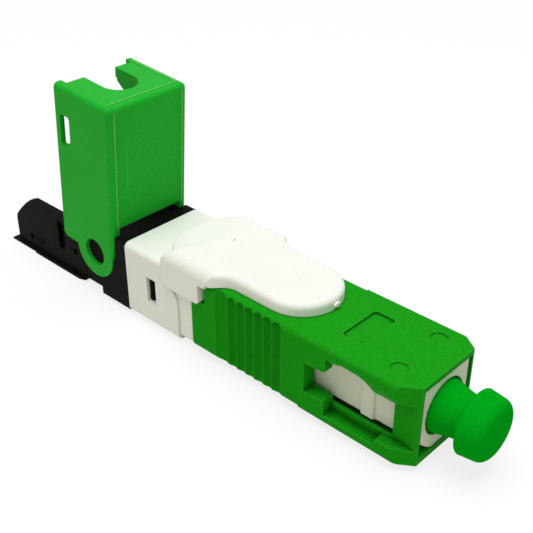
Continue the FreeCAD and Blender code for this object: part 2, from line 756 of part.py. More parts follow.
def make_slider_pad():
    """White thumb slide with skirts over the body and a foot on the splice cover."""
    underside = housing_height + slide_gap
    slab = Part.Face(pad_outline()).extrude(V(0, 0, pad_top_rear + 1 - underside))
    slab.translate(V(0, 0, underside))
    slope = (pad_top_rear - pad_top_front) / (pad_tip - pad_rear)
    over = 5.0
    outside = pad_half_width + 1
    lid = side_plate([(pad_tip + over, pad_top_front - slope * over),
                      (pad_rear - over, pad_top_rear + slope * over),
                      (pad_rear - over, pad_top_rear + over), (pad_tip + over, pad_top_rear + over)],
                     -outside, outside)
    slab = slab.cut(lid)
    top_face = max(slab.Faces, key=lambda face: face.CenterOfMass.z)
    slab = slab.makeFillet(pad_round, top_face.Edges)

    # The wide part has rounder shoulders, and its rear corners are rounded off behind the skirts
    r = pad_shoulder_round
    shoulder = box(pad_flare_front, pad_rear - 1, pad_half_width - r, outside,
                   pad_top_rear - r, pad_top_rear + 1)
    shoulder = shoulder.cut(rod(pad_flare_front + 1, pad_rear - 2, r, pad_half_width - r, pad_top_rear - r))
    r = pad_rear_corner_round
    rear_corner = box(skirt_rear + r, skirt_rear - 1, pad_nick_y, outside,
                      pad_top_rear - r, pad_top_rear + 1)
    corner_rod = cross_rod(pad_nick_y - 1, outside + 1, r, skirt_rear + r, pad_top_rear - r)
    rear_corner = rear_corner.cut(corner_rod)
    slab = slab.cut(both_sides(shoulder))
    hollow_z = pad_top_front + slope * pad_hollow_setback
    slab = slab.cut([dish(pad_rear - pad_dish_overhang, pad_dish_radius, pad_dish_depth, pad_top_rear),
                     dish(pad_tip - pad_hollow_setback, pad_hollow_radius, pad_hollow_depth, hollow_z)])

    rear_reach = math.sqrt(pad_rear_radius ** 2 - pad_nick_y ** 2)
    belly = block(collar_front - slide_gap, pad_rear + pad_rear_radius - rear_reach, pad_nick_y,
                  body_top + slide_gap, underside + 0.5)
    leg = block(leg_front, leg_rear, leg_half_width, cavity_top - slide_gap, underside + 0.5)
    foot = block(leg_front, leg_rear, foot_half_width, land_top + slide_gap, cavity_top - slide_gap)
    pieces = [slab, belly, leg, foot]
    thick_rear = skirt_rear + pad_travel
    skirt = box(tab_front, skirt_rear, pad_half_width - skirt_thin, pad_half_width,
                skirt_bottom, underside + 0.3)
    tab = box(tab_front, thick_rear, pad_half_width - skirt_thick, pad_half_width,
              skirt_bottom, underside + 0.3)
    lip = box(tab_front + lip_length, tab_front - skirt_round, pad_half_width - skirt_thin, pad_half_width,
              lip_bottom, underside + 0.3)
    side = fuse_all([skirt, tab, lip])
    low_corners = [edge for edge in edges_along(side, V(0, 1, 0))
                   if abs(edge.CenterOfMass.z - skirt_bottom) < 1e-6
                   and min(abs(edge.CenterOfMass.x - tab_front),
                           abs(edge.CenterOfMass.x - skirt_rear)) < 1e-6]
    side = side.makeFillet(skirt_round, low_corners)
    return fuse_all(pieces + both_sides(side)).cut(both_sides(rear_corner))


# ---------------------------------------------------------------- fibre guide
def make_fibre_guide():
    """Block with a funnel that leads the field fibre into the splice."""
    rear = guide_front - guide_length
    half_width = spigot_half_width - spigot_wall - slide_gap
    guide = block(guide_front, rear, half_width, spigot_bottom + spigot_wall + slide_gap, spigot_top)
    funnel = turned([(guide_front + 0.01, 0), (guide_front + 0.01, guide_throat),
                     (guide_front - 0.6, guide_throat), (rear - 0.01, guide_mouth), (rear - 0.01, 0)])
    return guide.cut(funnel)


# ---------------------------------------------------------------- tail
def hinge_room():
    """What the left ear of the cap sweeps through beside the pin."""
    inside = tail_half_width
    outside = cap_half_width + 1
    ear_room = cross_rod(inside, outside, ear_radius + assembly_gap, pin_x, pin_z)
    lean = math.radians(cap_open_angle - 90)
    wall_front = pin_x + (cap_top + block_rise * math.sin(lean)) / math.cos(lean) + assembly_gap
    wall_room = box(wall_front, pin_x - 1, inside, outside, pin_z, tail_block_top + 1)
    return [ear_room, wall_room]


def make_tail_base():
    """Black cable trough with the hinge pins, clipped into the back of the body."""
    cheek_rear = pin_x + cheek_reach
    top_block = side_plate([(tail_front, cheek_bottom), (tail_front, tail_block_top),
                            (pin_x - block_reach, tail_block_top), (pin_x - wall_reach, tail_wall_top),
                            (pin_x - wall_reach, tail_bottom), (cheek_rear, tail_bottom),
                            (cheek_rear, cheek_bottom)], -tail_half_width, tail_half_width)
    rear_corner = [(tail_wall_rear + ahead, tail_wall_top - below) for ahead, below in tail_corner]
    trough = side_plate([(trough_front, tail_bottom), (trough_front, tail_wall_top)] + rear_corner
                        + [(tail_wall_rear, plate_top), (plate_front, plate_top),
                           (plate_front, tail_bottom)], -tail_half_width, tail_half_width)
    hollow = block(trough_front, tail_wall_rear - 1, trough_half_width, trough_floor, tail_block_top + 1)
    web_room = block(tail_wall_rear + web_room_length, tail_wall_rear - 1, trough_half_width,
                     web_room_floor, trough_floor + 1)
    plate = side_plate([(plate_front, plate_top), (plate_front - plate_slant, plate_bottom),
                        (plate_rear + plate_tip_length, plate_bottom),
                        (plate_rear + plate_tip_length, plate_bottom + plate_tip_thinner),
                        (plate_rear, plate_bottom + plate_tip_thinner), (plate_rear, plate_top)],
                       -tail_half_width - plate_side, tail_half_width + plate_side)
    way = block(tail_front + 1, trough_front - 1, guide_mouth + assembly_gap,
                axis_z - guide_mouth, axis_z + guide_mouth)
    cheek = box(tail_front, cheek_rear, tail_half_width - 0.1, cap_half_width - cheek_inset,
                cheek_bottom, tail_block_top)
    cheek = cheek.cut(hinge_room())
    pin = cross_rod(tail_half_width - 0.1, cap_half_width - pin_sink, pin_radius, pin_x, pin_z)
    bump_front = pin_x - cap_window_start - bump_margin
    bump_rear = pin_x - cap_window_start - cap_window_length + bump_margin
    bump_low = pin_z - cap_window_bottom + bump_margin
    bump_high = pin_z - cap_window_top - bump_margin
    bump = end_plate([(tail_half_width - 0.1, bump_low), (tail_half_width + bump_reach, bump_low),
                      (tail_half_width + bump_reach, bump_low + bump_lip), (tail_half_width, bump_high),
                      (tail_half_width - 0.1, bump_high)], bump_rear, bump_front)
    spigot = box(tail_front - 0.1, spigot_front, spigot_half_width - spigot_wall, spigot_half_width,
                 spigot_bottom, spigot_top)
    hook_rear = body_window_rear + assembly_gap
    hook = plan_plate([(hook_rear, spigot_half_width - 0.1), (hook_rear, spigot_half_width + hook_reach),
                       (hook_rear + hook_length * 0.4, spigot_half_width + hook_reach),
                       (hook_rear + hook_length, spigot_half_width - 0.1)],
                      body_window_bottom + assembly_gap, body_window_top - assembly_gap)
    floor = block(tail_front - 0.1, spigot_front, spigot_half_width - spigot_wall,
                  spigot_bottom, spigot_bottom + spigot_wall)
    pieces = [top_block, trough, plate, floor]
    for piece in [cheek, pin, bump, spigot, hook]:
        pieces += both_sides(piece)
    base = fuse_all(pieces)

    outside = tail_half_width + 1
    slot = box(pin_x - slot_reach, pin_x - slot_reach - slot_length, trough_half_width - 0.1, outside,
               slot_bottom, slot_top)
    dimple = cross_rod(tail_half_width - dimple_depth, outside, dimple_radius,
                       tail_wall_rear + dimple_margin, dimple_z)
    nick_x = pin_x - nick_reach
    nick = box(nick_x + nick_size / 2, nick_x - nick_size / 2, tail_half_width - dimple_depth,
               outside, nick_z - nick_size / 2, nick_z + nick_size / 2)
    cutters = [hollow, way, web_room]
    for cutter in [slot, dimple, nick]:
        cutters += both_sides(cutter)
    base = base.cut(cutters)
    teeth = []
    for i in range(tooth_count):
        front = pin_x - first_tooth - tooth_pitch * i
        teeth.append(side_plate([(front, trough_floor - 0.1), (front, trough_floor + tooth_rise),
                                 (front - tooth_pitch / 2, trough_floor - 0.1)],
                                -trough_half_width, trough_half_width))
    return fuse_all([base] + teeth)


# ---------------------------------------------------------------- flip cap
def cap_box(behind0, behind1, y0, y1, above0, above1):
    """Box in the shut cap's own measures: behind the pin, across, and above the pin."""
    return box(pin_x - behind0, pin_x - behind1, y0, y1, pin_z + above0, pin_z + above1)


def make_flip_cap():
    """Green cap on the tail's pins, drawn shut and turned to where it stands open."""
    inner = cap_half_width - cap_wall
    shell = cap_box(-cap_front_edge, cap_length, -cap_half_width, cap_half_width, -cap_free_edge, cap_top)
    far_x = pin_x - cap_length
    near_x = pin_x + cap_front_edge
    top_z = pin_z + cap_top

    def is_outer_edge(edge):
        box_of = edge.BoundBox
        on_top = box_of.ZMin > top_z - 1e-6
        at_end = box_of.XMax < far_x + 1e-6
        across_front = on_top and box_of.XMin > near_x - 1e-6
        across_low_end = at_end and box_of.ZMax < top_z - cap_top
        return (on_top or at_end) and not across_front and not across_low_end

    shell = shell.makeFillet(cap_round, [edge for edge in shell.Edges if is_outer_edge(edge)])
    low_front = [edge for edge in edges_along(shell, V(0, 1, 0))
                 if edge.CenterOfMass.x > near_x - 1e-6 and edge.CenterOfMass.z < pin_z]
    shell = shell.makeFillet(cap_front_corner, low_front)

    # The top edge runs down to the ear as a tangent of its circle
    reach = math.hypot(ear_tangent_start, cap_top)
    turn = math.atan2(ear_tangent_start, cap_top) - math.acos(ear_radius / reach)
    touch_x = pin_x - ear_radius * math.sin(turn)
    touch_z = pin_z + ear_radius * math.cos(turn)
    start_x = pin_x - ear_tangent_start
    wide = cap_half_width + 1
    corner = side_plate([(touch_x, touch_z), (start_x, top_z), (start_x, top_z + 1),
                         (near_x + 1, top_z + 1), (near_x + 1, touch_z)], -wide, wide)
    shell = shell.cut(corner)
    shell = fuse_all([shell, cross_rod(-cap_half_width, cap_half_width, ear_radius, pin_x, pin_z)])

    end_inside = cap_length - cap_end_wall
    relief_start = cap_length - cap_end_relief
    relief_half_width = cap_notch_half_width - assembly_gap
    notch_round_z = pin_z + cap_top - cap_notch_depth - cap_notch_half_width
    window = cap_box(cap_window_start, cap_window_start + cap_window_length, inner - 1, wide,
                     -cap_window_bottom, -cap_window_top)
    window = window.makeFillet(cap_window_round, edges_along(window, V(0, 1, 0)))
    groove = cap_box(cap_window_start - cap_groove_margin,
                     cap_window_start + cap_window_length + cap_groove_margin, inner - 1,
                     inner + cap_groove_depth, -cap_free_edge - 1, cap_window_round - cap_window_bottom)
    relief = cap_box(end_inside - 0.1, relief_start, relief_half_width, inner,
                     -cap_free_edge - 1, -cap_relief_drop)
    cutters = [cap_box(-4, end_inside, -inner, inner, -cap_free_edge - 1, cap_top - cap_wall),
               cap_box(-4, cap_panel_start, -inner, inner, -cap_free_edge - 1, cap_top + 1),
               cap_box(end_inside - 0.1, cap_length + 1, -inner, inner, -cap_free_edge - 1,
                       cap_top - cap_prong_depth),
               rod(far_x - 1, far_x + cap_end_wall + 0.1, cap_notch_half_width, 0, notch_round_z),
               box(far_x - 1, far_x + cap_end_wall + 0.1, -cap_notch_half_width, cap_notch_half_width,
                   pin_z - cap_free_edge - 1, notch_round_z),
               cross_rod(-wide, wide, pin_radius + ear_gap, pin_x, pin_z)]
    for cutter in [window, groove, relief]:
        cutters += both_sides(cutter)
    web_x = end_inside + cap_end_wall / 2
    web_edge = [(pin_x - web_x + ahead, pin_z + above) for ahead, above in cap_web_edge]
    web = side_plate([(pin_x - web_x, web_edge[0][1])] + web_edge + [(pin_x - web_x, web_edge[-1][1])],
                     cap_notch_half_width, cap_notch_half_width + cap_web_thickness)
    bead_y = cap_half_width - bead_inset
    bead = cap_box(cap_panel_start, cap_length - cap_round, bead_y - bead_width / 2, bead_y + bead_width / 2,
                   cap_top - bead_width, cap_top + bead_rise)
    cross_bead = cap_box(cap_length - bead_width, cap_length + bead_rise, -bead_y, bead_y,
                         cap_top - bead_drop - bead_width, cap_top - bead_drop)
    end_bead = cap_box(cap_length - bead_width, cap_length + bead_rise, bead_y - bead_width / 2,
                       bead_y + bead_width / 2, cap_top - cap_prong_depth, cap_top - bead_drop)
    cap = fuse_all([shell.cut(cutters), cross_bead, end_bead] + both_sides(web) + both_sides(bead))
    cap.rotate(V(pin_x, 0, pin_z), V(0, 1, 0), cap_open_angle)
    return cap


# ---------------------------------------------------------------- dust cap
def make_dust_cap():
    """Soft spool-shaped cap over the ferrule, with a waist between neck and head."""
    def at(x, radius):
        return V(x, 0, axis_z + radius)

    tail = -dust_neck_length
    head_front = dust_head_rear + dust_head_length
    waist_mid = (dust_waist_x / 2, (dust_neck_radius + dust_waist_radius) / 2 - 0.03)
    flare = (dust_head_rear - dust_waist_x) * 0.8
    outline = [Part.makeLine(at(tail, 0), at(tail, dust_neck_radius - 0.15)),
               Part.makeLine(at(tail, dust_neck_radius - 0.15), at(tail + 0.3, dust_neck_radius)),
               Part.makeLine(at(tail + 0.3, dust_neck_radius), at(0, dust_neck_radius)),
               Part.Arc(at(0, dust_neck_radius), at(*waist_mid),
                        at(dust_waist_x, dust_waist_radius)).toShape(),
               Part.Arc(at(dust_waist_x, dust_waist_radius),
                        at(dust_waist_x + flare * 0.75, dust_waist_radius + flare * 0.3),
                        at(dust_head_rear, dust_waist_radius + flare)).toShape(),
               Part.makeLine(at(dust_head_rear, dust_waist_radius + flare),
                             at(dust_head_rear, dust_head_radius)),
               Part.makeLine(at(dust_head_rear, dust_head_radius), at(head_front, dust_head_front_radius)),
               Part.makeLine(at(head_front, dust_head_front_radius), at(head_front, 0)),
               Part.makeLine(at(head_front, 0), at(tail, 0))]
    spool = Part.Face(Part.Wire(outline)).revolve(V(0, 0, axis_z), V(1, 0, 0), 360)

    def rim(x, radius):
        return [edge for edge in spool.Edges if not edge.Degenerated
                and edge.Curve.TypeId == "Part::GeomCircle"
                and abs(edge.CenterOfMass.x - x) < 1e-6 and abs(edge.Curve.Radius - radius) < 1e-6]

    spool = spool.makeFillet(dust_head_round, rim(head_front, dust_head_front_radius))
    spool = spool.makeFillet(0.15, rim(dust_head_rear, dust_head_radius))
    return spool.cut(rod(tail - 1, tip_reach + dust_end_gap, ferrule_radius + dust_bore_gap))


# ---------------------------------------------------------------- one file for each piece
makers = {
    "ferrule": make_ferrule,
    "ferrule_holder": make_ferrule_holder,
    "fibre_stub": make_fibre_stub,
    "ferrule_spring": make_ferrule_spring,
    "spring_seat": make_spring_seat,
    "splice_base": make_splice_base,
    "v_groove_chip": make_v_groove_chip,
    "splice_cover_front": make_splice_cover_front,
    "splice_cover_rear": make_splice_cover_rear,
    "clamp_sleeve": make_clamp_sleeve,
    "plug_frame": make_plug_frame,
    "outer_housing": make_outer_housing,
    "main_body": make_main_body,
    "slider_pad": make_slider_pad,
    "fibre_guide": make_fibre_guide,
    "tail_base": make_tail_base,
    "flip_cap": make_flip_cap,
    "dust_cap": make_dust_cap,
}

os.makedirs("parts", exist_ok=True)
for name, make in makers.items():
    piece = make()
    piece.translate(V(-tip_reach, 0, -axis_z))
    piece.exportStep("parts/" + name + ".step")
    print(name, len(piece.Solids), piece.isValid(), round(piece.Volume, 2))
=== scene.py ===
# %% [markdown]
# # A field-fitted fibre connector
# Two green mouldings, a white sliding pad, a black cable trough and a small
# ferrule under a green dust cap. The shapes were drawn in a CAD program and come
# in here as fixed parts. This lesson sets a camera before them, gives each one
# the finish of its real material and lights them.

# %% Load the frame
import bpy
import bmesh
import math
from mathutils import Matrix, Vector


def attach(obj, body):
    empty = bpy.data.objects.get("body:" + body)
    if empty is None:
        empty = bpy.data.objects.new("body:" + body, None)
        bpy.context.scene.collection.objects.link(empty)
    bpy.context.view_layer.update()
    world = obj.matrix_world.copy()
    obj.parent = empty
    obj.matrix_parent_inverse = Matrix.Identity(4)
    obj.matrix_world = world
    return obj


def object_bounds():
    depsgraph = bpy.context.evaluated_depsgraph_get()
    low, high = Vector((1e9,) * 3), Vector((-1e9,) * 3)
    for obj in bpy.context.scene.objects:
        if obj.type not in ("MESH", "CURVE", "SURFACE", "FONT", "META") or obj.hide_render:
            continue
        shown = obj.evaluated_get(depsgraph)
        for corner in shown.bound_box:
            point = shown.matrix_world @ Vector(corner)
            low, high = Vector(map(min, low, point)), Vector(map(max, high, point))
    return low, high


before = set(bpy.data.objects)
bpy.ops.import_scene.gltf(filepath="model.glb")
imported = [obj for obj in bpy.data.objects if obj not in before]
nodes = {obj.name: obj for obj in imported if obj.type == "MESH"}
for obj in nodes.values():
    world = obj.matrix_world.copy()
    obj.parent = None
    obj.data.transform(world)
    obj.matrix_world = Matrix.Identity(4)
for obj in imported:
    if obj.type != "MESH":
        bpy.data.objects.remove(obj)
cad_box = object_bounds()
MM = 0.001


def in_mm(place):
    return [round(v / MM, 2) for v in place]


print("CAD parts:", len(nodes), "box in mm:", in_mm(cad_box[0]), in_mm(cad_box[1]))

# %% [markdown]
# ## Camera
# The part is small, so the camera stands only a hand's width away, with a lens
# a little longer than normal. A camera in Blender looks along its own -Z, so it
# is first tipped up from straight down and then turned about the vertical.

# %% Camera
CAMERA_PLACE = Vector((26.654, -50.021, 47.42)) * MM
CAMERA_TURN = 43.27      # degrees about the vertical
CAMERA_DIP = 31.97       # degrees below the horizon
SENSOR = 36.0
LENS = 63.885
NEAREST_SEEN = 2 * MM
FURTHEST_SEEN = 20       # metres

camera_data = bpy.data.cameras.new("camera")
camera_data.sensor_width = SENSOR
camera_data.lens = LENS
camera_data.clip_start = NEAREST_SEEN
camera_data.clip_end = FURTHEST_SEEN
camera = bpy.data.objects.new("camera", camera_data)
camera.location = CAMERA_PLACE
camera.rotation_euler = (math.radians(90 - CAMERA_DIP), 0, math.radians(CAMERA_TURN))
bpy.context.scene.collection.objects.link(camera)
bpy.context.scene.camera = camera
bpy.context.scene.view_settings.view_transform = "Standard"
print("camera at", in_mm(camera.location), "mm")

# %% [markdown]
# ## Shader sums in plain Python
# A material's pattern is a chain of small sums. Wrapping a node's output in a
# class lets those sums be written as Python expressions, and each operator adds
# the Math node that does it.


# %% A value on its way through a material
class Flow:
    """A socket whose value can be used in sums; each sum adds a Math node."""

    def __init__(self, finish, socket):
        self.finish = finish
        self.socket = socket

    def math(self, operation, *values):
        return self.finish.node("ShaderNodeMath", {"operation": operation}, dict(enumerate(values)))

    def __add__(self, other):
        return self.math("ADD", self, other)

    def __sub__(self, other):
        return self.math("SUBTRACT", self, other)

    def __rsub__(self, other):
        return self.math("SUBTRACT", other, self)

    def __mul__(self, other):
        return self.math("MULTIPLY", self, other)

    __radd__ = __add__
    __rmul__ = __mul__

    def most(self, other):
        return self.math("MAXIMUM", self, other)

    def step(self, low, high, start=0.0, end=1.0):
        """Eases from start to end as the value goes from low to high."""
        ranges = {"Value": self, "From Min": low, "From Max": high, "To Min": start, "To Max": end}
        return self.finish.node("ShaderNodeMapRange", {"interpolation_type": "SMOOTHSTEP"}, ranges)


# %% [markdown]
# ## A material and its nodes
# Every material starts as Blender's Principled shader. One method adds any other
# node: its settings go in first, because some of them change which sockets it
# has, and then its sockets get a value or a link.


# %% A material
class Finish:
    """A material, with one method that adds any node to it."""

    def __init__(self, name):
        self.material = bpy.data.materials.new(name)
        self.material.use_nodes = True
        self.tree = self.material.node_tree
        self.shader = self.tree.nodes["Principled BSDF"]

    def feed(self, socket, value):
        """Links a Flow to a socket, or sets the socket to a plain value."""
        if isinstance(value, Flow):
            self.tree.links.new(value.socket, socket)
        else:
            socket.default_value = value

    def node(self, kind, settings=None, sockets=None, output=0):
        """Adds a node and gives back the Flow out of one of its outputs."""
        made = self.tree.nodes.new(kind)
        for name, value in (settings or {}).items():
            setattr(made, name, value)
        for name, value in (sockets or {}).items():
            self.feed(made.inputs[name], value)
        return Flow(self, made.outputs[output])

    def surface(self, **sockets):
        """Sets sockets of the main shader; a name's underscores stand for spaces."""
        for name, value in sockets.items():
            self.feed(self.shader.inputs[name.replace("_", " ")], value)


# %% [markdown]
# ## Colours and places
# A Math node would turn a colour grey, so colours go through a Mix node. Places
# are measured in object space. All parts keep their origin at the ferrule's
# tip, so a place on a part is the same place in the CAD drawing.

# %% Colours and places
MIX_AMOUNT = 0      # sockets of a Mix node by number, because several have the same name
MIX_FIRST = 6
MIX_SECOND = 7
MIX_RESULT = 2


def rgb(red, green, blue):
    return (red, green, blue, 1.0)


def dimmed(colour, share):
    """The same colour with only a share of its light."""
    return rgb(*[v * share for v in colour[:3]])


def blend(finish, amount, first, second):
    """Colour that goes from first to second."""
    made = finish.node("ShaderNodeMix", {"data_type": "RGBA", "clamp_factor": True})
    mix = made.socket.node
    for place, value in ((MIX_AMOUNT, amount), (MIX_FIRST, first), (MIX_SECOND, second)):
        finish.feed(mix.inputs[place], value)
    return Flow(finish, mix.outputs[MIX_RESULT])


def object_place(finish):
    return finish.node("ShaderNodeTexCoord", output="Object")


def vector_math(finish, operation, first, second, output=0):
    return finish.node("ShaderNodeVectorMath", {"operation": operation}, {0: first, 1: second}, output)


def place_along(finish, start, direction):
    """How far the surface lies from a start point along a direction, in metres."""
    offset = vector_math(finish, "SUBTRACT", object_place(finish), start)
    return vector_math(finish, "DOT_PRODUCT", offset, direction, "Value")


def near(finish, point, inner, outer):
    """A mask that is 1 within the inner radius of a point and fades out at the outer one."""
    distance = vector_math(finish, "DISTANCE", object_place(finish), point, "Value")
    return distance.step(inner, outer, 1.0, 0.0)


# %% [markdown]
# ## Patterns that every moulding shares
# A moulded part copies the steel of its mould. The steel is spark-eroded, so
# the plastic has a fine even grain. Its colour drifts a little where the melt
# ran slower, and its edges are never quite sharp. A Bevel node rounds the
# light on the edges, and the difference between its normal and the flat one
# also tells where an edge is, which gets a painted highlight in the colour. An
# Ambient Occlusion node that sees only its own piece tells where a groove is,
# which gets painted shade in the colour.

# %% Grain, edges and grooves
EDGE_STARTS = 0.01      # how far the rounded normal has turned from the flat one
EDGE_FULL = 0.22
GROOVE_FULL = 0.40      # how much of the sky above a point is open
GROOVE_STARTS = 0.96


def noise(finish, waves, detail=2.0, roughness=0.5, stretch=None):
    """Noise in object space, in waves a metre."""
    place = object_place(finish)
    if stretch:
        place = finish.node("ShaderNodeMapping", {}, {"Vector": place, "Scale": stretch})
    return finish.node("ShaderNodeTexNoise", {"noise_dimensions": "3D"},
                       {"Vector": place, "Scale": waves, "Detail": detail, "Roughness": roughness})


def soft_edge(finish, radius):
    """The rounded normal, and a mask that is 1 on edges."""
    rounded = finish.node("ShaderNodeBevel", {"samples": 4}, {"Radius": radius})
    flat = finish.node("ShaderNodeNewGeometry", output="Normal")
    same = vector_math(finish, "DOT_PRODUCT", rounded, flat, "Value")
    return rounded, (1 - same).step(EDGE_STARTS, EDGE_FULL)


def hollow(finish, reach):
    """A mask that is 1 deep in grooves and inside corners of the same piece, where shade is painted."""
    settings = {"only_local": True, "samples": 8}
    open_sky = finish.node("ShaderNodeAmbientOcclusion", settings, {"Distance": reach}, output="AO")
    return open_sky.step(GROOVE_FULL, GROOVE_STARTS, 1.0, 0.0)


def grained(finish, height, depth, normal):
    """The normal with a grain of the given depth pressed into it."""
    sockets = {"Height": height, "Distance": depth, "Strength": 1.0, "Normal": normal}
    return finish.node("ShaderNodeBump", {}, sockets)


# %% [markdown]
# ## Moulded plastic
# One function makes all the smooth plastics, because they differ only in colour
# and in how strong each pattern is. The broad drift and the fine mottle both
# lead towards the shade colour. Grooves then get painted shade, a dim copy of
# the shade colour. Edges get a painted highlight in the light colour, except
# down in a groove, where it would shine out of the dark.

# %% Moulded plastic
DRIFT_WAVES = 130
DRIFT_AMOUNT = 0.4
MOTTLE_WAVES = 6500
MOTTLE_AMOUNT = 0.9
GRAIN_WAVES = 7000
GRAIN_ROUGHNESS = 0.12
# How far the painted groove shade looks for a nearby wall, and how dark it gets.
GROOVE_REACH = 0.9 * MM
GROOVE_SHADE_SHARE = 0.2       # of the shade colour's light


def moulded(name, colour, shade, light, rough, grain=0.006 * MM, edge=0.12 * MM, shine=0.06,
            edge_highlight=0.45, groove_shade=0.0, spots=()):
    """Plastic with painted shade in its grooves and a painted highlight on its edges; spots are masks with
    colours.
    """
    finish = Finish(name)
    normal, edges = soft_edge(finish, edge)
    drift = noise(finish, DRIFT_WAVES, 3).step(0.35, 0.68)
    fine = noise(finish, GRAIN_WAVES, 2, 0.6)
    mottle = noise(finish, MOTTLE_WAVES, 2, 0.7).step(0.32, 0.68)
    body = blend(finish, drift * DRIFT_AMOUNT, colour, shade)
    body = blend(finish, mottle * MOTTLE_AMOUNT, body, shade)
    # Painted shade: deep in grooves and inside corners the colour goes towards a dim shade colour, and
    # edges there get no painted highlight.
    if groove_shade:
        groove_shade_mask = hollow(finish, GROOVE_REACH)
        body = blend(finish, groove_shade_mask * groove_shade, body, dimmed(shade, GROOVE_SHADE_SHARE))
        edges = edges * (1 - groove_shade_mask)
    # Painted highlight: the edges go towards the light colour.
    body = blend(finish, edges * edge_highlight, body, light)
    for mask, tone in spots:
        body = blend(finish, mask(finish), body, tone)
    finish.surface(Base_Color=body, Roughness=fine * GRAIN_ROUGHNESS + (rough - GRAIN_ROUGHNESS / 2),
                   Normal=grained(finish, fine, grain, normal), Specular_IOR_Level=shine)
    return finish


# %% [markdown]
# ## Lines on the flip cap
# Two kinds of fine line catch light by their shape, and that light is painted
# in as a lighter colour: a painted highlight along each line. The raised lines
# stand furthest out on the panel and the end, so a distance from the hinge pin
# is enough to find them. The faint line of a mould insert is a narrow stripe
# along the panel, to one side of its middle. Both are measured along the cap's
# own up and back, as they are when it is shut.

# %% Lines on the flip cap
CAP_ANGLE = math.radians(94.5)
CAP_PIN = Vector((-38.77, 0, 0.44)) * MM
CAP_ABOVE = Vector((math.sin(CAP_ANGLE), 0, math.cos(CAP_ANGLE)))
CAP_BEHIND = Vector((-math.cos(CAP_ANGLE), 0, math.sin(CAP_ANGLE)))
CAP_ACROSS = Vector((0, 1, 0))

# Each pair is where a mask starts to change and where the change is over.
PANEL_LINES_ABOVE = (2.86 * MM, 2.88 * MM)
END_LINES_BEHIND = (15.91 * MM, 15.93 * MM)
LINE_HIGHLIGHT_AMOUNT = 0.7
INSERT_ABOVE = (2.83 * MM, 2.845 * MM)
INSERT_FRONT_END = (7.3 * MM, 7.8 * MM)
INSERT_REAR_END = (11.6 * MM, 12.1 * MM)
INSERT_OUTER_SIDE = (-2.70 * MM, -2.64 * MM)
INSERT_INNER_SIDE = (-2.62 * MM, -2.56 * MM)
INSERT_HIGHLIGHT_AMOUNT = 0.5


def parting_line_highlights(finish):
    """A painted highlight on the fine raised lines of the cap, which stand above its panel and its end."""
    above = place_along(finish, CAP_PIN, CAP_ABOVE).step(*PANEL_LINES_ABOVE)
    behind = place_along(finish, CAP_PIN, CAP_BEHIND).step(*END_LINES_BEHIND)
    return above.most(behind) * LINE_HIGHLIGHT_AMOUNT


def insert_line_highlight(finish):
    """A painted highlight on the faint line that a mould insert leaves along the panel."""
    above = place_along(finish, CAP_PIN, CAP_ABOVE).step(*INSERT_ABOVE)
    behind = place_along(finish, CAP_PIN, CAP_BEHIND)
    across = place_along(finish, CAP_PIN, CAP_ACROSS)
    length = behind.step(*INSERT_FRONT_END) * behind.step(*INSERT_REAR_END, 1.0, 0.0)
    width = across.step(*INSERT_OUTER_SIDE) * across.step(*INSERT_INNER_SIDE, 1.0, 0.0)
    return above * length * width * INSERT_HIGHLIGHT_AMOUNT


# %% [markdown]
# ## Green plastics
# The housing and the flip cap are moulded in nearly the same tint, but the cap
# is the thinner part and comes out a little brighter. The dust cap is a soft,
# rubbery plastic that lets some light in, so it gets a little subsurface
# scattering.

# %% Green plastics
SCATTER_AMOUNT = 0.15
SCATTER_REACH = 0.8 * MM
SCATTER_TINT = (0.1, 1.0, 0.2)      # how far red, green and blue go, as shares of the reach

# The housing gets strong painted shade in its grooves and a strong painted highlight on its edges.
green_shell = moulded("green_shell", colour=rgb(0.013, 0.355, 0.010), shade=rgb(0.008, 0.270, 0.006),
                      light=rgb(0.05, 0.62, 0.05), rough=0.42, edge=0.16 * MM, shine=0.012,
                      edge_highlight=0.9, groove_shade=0.7)
# The flip cap's fine lines get a painted highlight.
green_flap = moulded("green_flap", colour=rgb(0.015, 0.475, 0.030), shade=rgb(0.010, 0.365, 0.018),
                     light=rgb(0.10, 0.55, 0.09), rough=0.44, edge=0.05 * MM,
                     spots=[(parting_line_highlights, rgb(0.16, 0.62, 0.12)), (insert_line_highlight, rgb(0.10, 0.60, 0.09))])
soft_green = moulded("soft_green", colour=rgb(0.001, 0.400, 0.014), shade=rgb(0.001, 0.330, 0.008),
                     light=rgb(0.01, 0.48, 0.03), rough=0.36, grain=0.003 * MM, edge=0.2 * MM, shine=0.0)
soft_green.surface(Subsurface_Weight=SCATTER_AMOUNT, Subsurface_Scale=SCATTER_REACH,
                   Subsurface_Radius=SCATTER_TINT)
print("green finishes:", [f.material.name for f in (green_shell, green_flap, soft_green)])

# %% [markdown]
# ## White plastics
# The white polycarbonate is a shade warm and has a satin surface. A grain of
# dirt got into the pad's melt and left one dark speck, which is a small round
# mask. The inner frame is a duller white.

# %% White plastics
SPECK_PLACE = Vector((-25.04, 0.745, 5.02)) * MM
SPECK_CORE = 0.05 * MM
SPECK_RIM = 0.14 * MM
SPECK_AMOUNT = 0.8


def speck(finish):
    """A grain of dirt moulded into the pad."""
    return near(finish, SPECK_PLACE, SPECK_CORE, SPECK_RIM) * SPECK_AMOUNT


